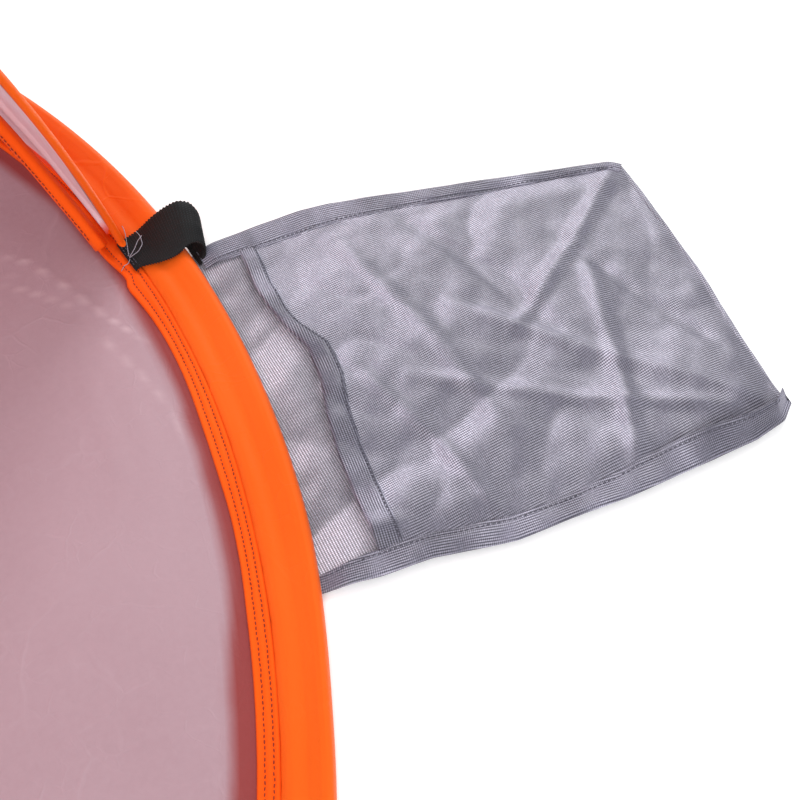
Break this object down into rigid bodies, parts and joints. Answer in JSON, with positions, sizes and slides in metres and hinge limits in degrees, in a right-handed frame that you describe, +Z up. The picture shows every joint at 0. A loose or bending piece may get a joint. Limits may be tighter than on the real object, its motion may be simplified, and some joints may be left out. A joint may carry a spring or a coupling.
{
  "type": "pop-up ground shelter",
  "caption": "Pop-up ground shelter: sprung wire ground hoop in a fabric sleeve, coated floor, folding arched canopy, mesh sand pockets and webbing peg loops.",
  "frame": {"origin": "on the ground, midway between the feet of the arches, which is the middle of the ground hoop", "axes": "+Z up, +Y towards the closed back of the canopy, +X to the right for someone inside looking at the back"},
  "size_m": [2.4832, 1.6927, 1.0883],
  "materials": {
    "sleeve_orange": "woven polyester, orange, soft sheen",
    "panel_orange": "woven polyester, orange outside, pale coating inside",
    "seam_red": "folded seam tape, red-orange, double stitched",
    "floor_silver": "coated polyester, pinkish silver side up",
    "mesh_grey": "fine knitted mesh, grey",
    "hem_grey": "doubled mesh hem, grey",
    "webbing_black": "black twill webbing",
    "spring_steel": "spring steel wire"
  },
  "bodies": {
    "base": {"base_wire": "spring_steel", "base_ferrule": "spring_steel", "base_sleeve": "sleeve_orange", "seam_band": "seam_red", "floor_panel": "floor_silver", "foot_tab_right": "sleeve_orange", "foot_tab_left": "sleeve_orange", "peg_strap_side_right": "webbing_black", "peg_strap_side_left": "webbing_black", "peg_strap_front_right": "webbing_black", "peg_strap_front_left": "webbing_black", "peg_strap_front_centre": "webbing_black", "peg_strap_rear_centre": "webbing_black"},
    "front_arch": {"front_arch_sleeve": "sleeve_orange", "front_arch_wire": "spring_steel", "roof_panel": "panel_orange"},
    "rear_arch": {"rear_arch_sleeve": "sleeve_orange", "rear_arch_wire": "spring_steel", "back_panel": "panel_orange", "rear_window_mesh": "mesh_grey"},
    "pocket_front_right": {"pocket_front_right_back_layer": "mesh_grey", "pocket_front_right_border_hem": "hem_grey"},
    "pocket_front_right_mouth": {"pocket_front_right_front_layer": "mesh_grey", "pocket_front_right_mouth_hem": "hem_grey"},
    "pocket_front_left": {"pocket_front_left_back_layer": "mesh_grey", "pocket_front_left_border_hem": "hem_grey"},
    "pocket_front_left_mouth": {"pocket_front_left_front_layer": "mesh_grey", "pocket_front_left_mouth_hem": "hem_grey"},
    "pocket_rear_right": {"pocket_rear_right_back_layer": "mesh_grey", "pocket_rear_right_border_hem": "hem_grey"},
    "pocket_rear_right_mouth": {"pocket_rear_right_front_layer": "mesh_grey", "pocket_rear_right_mouth_hem": "hem_grey"},
    "pocket_rear_left": {"pocket_rear_left_back_layer": "mesh_grey", "pocket_rear_left_border_hem": "hem_grey"},
    "pocket_rear_left_mouth": {"pocket_rear_left_front_layer": "mesh_grey", "pocket_rear_left_mouth_hem": "hem_grey"},
    "peg_side_right": {"peg_eye_side_right": "webbing_black"},
    "peg_side_left": {"peg_eye_side_left": "webbing_black"},
    "peg_front_right": {"peg_eye_front_right": "webbing_black"},
    "peg_front_left": {"peg_eye_front_left": "webbing_black"},
    "peg_front_centre": {"peg_eye_front_centre": "webbing_black"},
    "peg_rear_centre": {"peg_eye_rear_centre": "webbing_black"},
    "guy_right": {"guy_loop_right": "webbing_black"},
    "guy_left": {"guy_loop_left": "webbing_black"}
  },
  "joints": [
    {"name": "canopy_fold", "type": "hinge", "parent": "base", "child": "front_arch", "pos_m": [0, 0, 0.01], "axis": [-1, 0, 0], "range_deg": [0, 85], "stiffness_Nm_per_rad": 30, "springref_deg": -20.05, "deforming": ["roof_panel"]},
    {"name": "rear_arch_fold", "type": "hinge", "parent": "front_arch", "child": "rear_arch", "pos_m": [0, 0, 0.01], "axis": [-1, 0, 0], "range_deg": [-43.5, 0], "deforming": ["back_panel", "rear_window_mesh"]},
    {"name": "pocket_front_right_swing", "type": "hinge", "parent": "base", "child": "pocket_front_right", "pos_m": [0.95099, -0.14634, 0.008], "axis": [0.2405, 0.9707, 0], "range_deg": [-90, 0]},
    {"name": "pocket_front_right_open", "type": "hinge", "parent": "pocket_front_right", "child": "pocket_front_right_mouth", "pos_m": [1.21312, -0.21128, 0.0028], "axis": [0.2405, 0.9707, 0], "range_deg": [0, 10]},
    {"name": "pocket_front_left_swing", "type": "hinge", "parent": "base", "child": "pocket_front_left", "pos_m": [-0.95099, -0.14634, 0.008], "axis": [0.2405, -0.9707, 0], "range_deg": [-90, 0]},
    {"name": "pocket_front_left_open", "type": "hinge", "parent": "pocket_front_left", "child": "pocket_front_left_mouth", "pos_m": [-1.21312, -0.21128, 0.0028], "axis": [0.2405, -0.9707, 0], "range_deg": [0, 10]},
    {"name": "pocket_rear_right_swing", "type": "hinge", "parent": "base", "child": "pocket_rear_right", "pos_m": [0.59958, 0.6046, 0.008], "axis": [-0.8507, 0.5256, 0], "range_deg": [-85, 0]},
    {"name": "pocket_rear_right_open", "type": "hinge", "parent": "pocket_rear_right", "child": "pocket_rear_right_mouth", "pos_m": [0.73948, 0.83105, 0.0028], "axis": [-0.8507, 0.5256, 0], "range_deg": [0, 10]},
    {"name": "pocket_rear_left_swing", "type": "hinge", "parent": "base", "child": "pocket_rear_left", "pos_m": [-0.59958, 0.6046, 0.008], "axis": [-0.8507, -0.5256, 0], "range_deg": [-85, 0]},
    {"name": "pocket_rear_left_open", "type": "hinge", "parent": "pocket_rear_left", "child": "pocket_rear_left_mouth", "pos_m": [-0.73948, 0.83105, 0.0028], "axis": [-0.8507, -0.5256, 0], "range_deg": [0, 10]},
    {"name": "peg_loop_side_right_lift", "type": "hinge", "parent": "base", "child": "peg_side_right", "pos_m": [0.98047, -0.006, 0.011], "axis": [0.0098, 1, 0], "range_deg": [-50, 0]},
    {"name": "peg_loop_side_left_lift", "type": "hinge", "parent": "base", "child": "peg_side_left", "pos_m": [-0.98047, -0.006, 0.011], "axis": [0.0098, -1, 0], "range_deg": [-50, 0]},
    {"name": "peg_loop_front_right_lift", "type": "hinge", "parent": "base", "child": "peg_front_right", "pos_m": [0.60361, -0.61113, 0.011], "axis": [0.8507, 0.5256, 0], "range_deg": [-50, 0]},
    {"name": "peg_loop_front_left_lift", "type": "hinge", "parent": "base", "child": "peg_front_left", "pos_m": [-0.60361, -0.61113, 0.011], "axis": [0.8507, -0.5256, 0], "range_deg": [-50, 0]},
    {"name": "peg_loop_front_centre_lift", "type": "hinge", "parent": "base", "child": "peg_front_centre", "pos_m": [0, -0.7755, 0.011], "axis": [1, 0, 0], "range_deg": [-50, 0]},
    {"name": "peg_loop_rear_centre_lift", "type": "hinge", "parent": "base", "child": "peg_rear_centre", "pos_m": [0, 0.7755, 0.011], "axis": [-1, 0, 0], "range_deg": [-50, 0]},
    {"name": "guy_loop_right_swing", "type": "hinge", "parent": "front_arch", "child": "guy_right", "pos_m": [0.53934, -0.08648, 0.8328], "axis": [-0.7108, -0.0735, 0.6995], "range_deg": [-35, 35], "stiffness_Nm_per_rad": 0.05},
    {"name": "guy_loop_left_swing", "type": "hinge", "parent": "front_arch", "child": "guy_left", "pos_m": [-0.53934, -0.08648, 0.8328], "axis": [-0.7108, 0.0735, -0.6995], "range_deg": [-35, 35], "stiffness_Nm_per_rad": 0.05}
  ],
  "couplings": [
    {"joint": "rear_arch_fold", "follows": "canopy_fold", "ratio": -0.50588}
  ]
}
